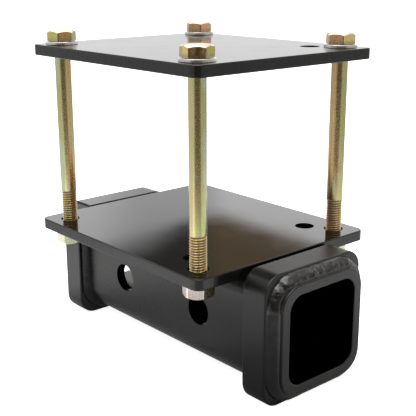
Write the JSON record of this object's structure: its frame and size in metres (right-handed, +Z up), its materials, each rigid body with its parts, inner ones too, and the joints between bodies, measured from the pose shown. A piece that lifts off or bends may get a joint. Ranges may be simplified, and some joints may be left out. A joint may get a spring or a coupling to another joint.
{
  "type": "bumper hitch receiver",
  "caption": "Square receiver tube with welded end collars and a drilled plate on top; long bolts draw a second plate down to clamp it under a square bumper.",
  "frame": {"origin": "middle of the bounding box on the floor, under the tube's middle, where the collars stand", "axes": "+Z up along the bolts, +Y along the tube away from the end shown in front, +X across the tube to the right seen from that end"},
  "size_m": [0.136, 0.211, 0.197],
  "materials": {
    "black_coat": "satin black powder coat",
    "coated_weld": "glossy black coat over weld beads",
    "yellow_zinc": "yellow zinc plating with an iridescent sheen",
    "grey_zinc": "dull grey zinc plating"
  },
  "bodies": {
    "receiver": {"receiver_tube": "black_coat", "front_collar": "black_coat", "rear_collar": "black_coat", "front_collar_outer_weld": "coated_weld", "rear_collar_outer_weld": "coated_weld", "front_collar_inner_weld": "coated_weld", "rear_collar_inner_weld": "coated_weld", "lower_plate": "black_coat", "plate_weld_left": "coated_weld", "plate_weld_right": "coated_weld"},
    "clamp": {"upper_plate": "black_coat", "bolt_front_left": "yellow_zinc", "bolt_front_right": "yellow_zinc", "bolt_rear_left": "yellow_zinc", "bolt_rear_right": "yellow_zinc", "washer_front_left": "grey_zinc", "washer_front_right": "grey_zinc", "washer_rear_left": "grey_zinc", "washer_rear_right": "grey_zinc"},
    "nut_front_left": {"nut_front_left": "yellow_zinc"},
    "nut_front_right": {"nut_front_right": "yellow_zinc"},
    "nut_rear_left": {"nut_rear_left": "yellow_zinc"},
    "nut_rear_right": {"nut_rear_right": "yellow_zinc"}
  },
  "joints": [
    {"name": "nut_front_left_turn", "type": "hinge", "parent": "receiver", "child": "nut_front_left", "pos_m": [-0.0551, -0.0635, 0.0667], "axis": [0, 0, 1], "range_deg": [0, 6048]},
    {"name": "nut_front_right_turn", "type": "hinge", "parent": "receiver", "child": "nut_front_right", "pos_m": [0.0551, -0.0635, 0.0667], "axis": [0, 0, 1], "range_deg": [0, 6048]},
    {"name": "nut_rear_left_turn", "type": "hinge", "parent": "receiver", "child": "nut_rear_left", "pos_m": [-0.0551, 0.0635, 0.0667], "axis": [0, 0, 1], "range_deg": [0, 6048]},
    {"name": "nut_rear_right_turn", "type": "hinge", "parent": "receiver", "child": "nut_rear_right", "pos_m": [0.0551, 0.0635, 0.0667], "axis": [0, 0, 1], "range_deg": [0, 6048]},
    {"name": "clamp_draw", "type": "slide", "parent": "receiver", "child": "clamp", "axis": [0, 0, 1], "range_m": [-0.0252, 0]}
  ],
  "couplings": [
    {"joint": "nut_front_left_turn", "follows": "clamp_draw", "rad_per_m": -4188.8},
    {"joint": "nut_front_right_turn", "follows": "clamp_draw", "rad_per_m": -4188.8},
    {"joint": "nut_rear_left_turn", "follows": "clamp_draw", "rad_per_m": -4188.8},
    {"joint": "nut_rear_right_turn", "follows": "clamp_draw", "rad_per_m": -4188.8}
  ]
}
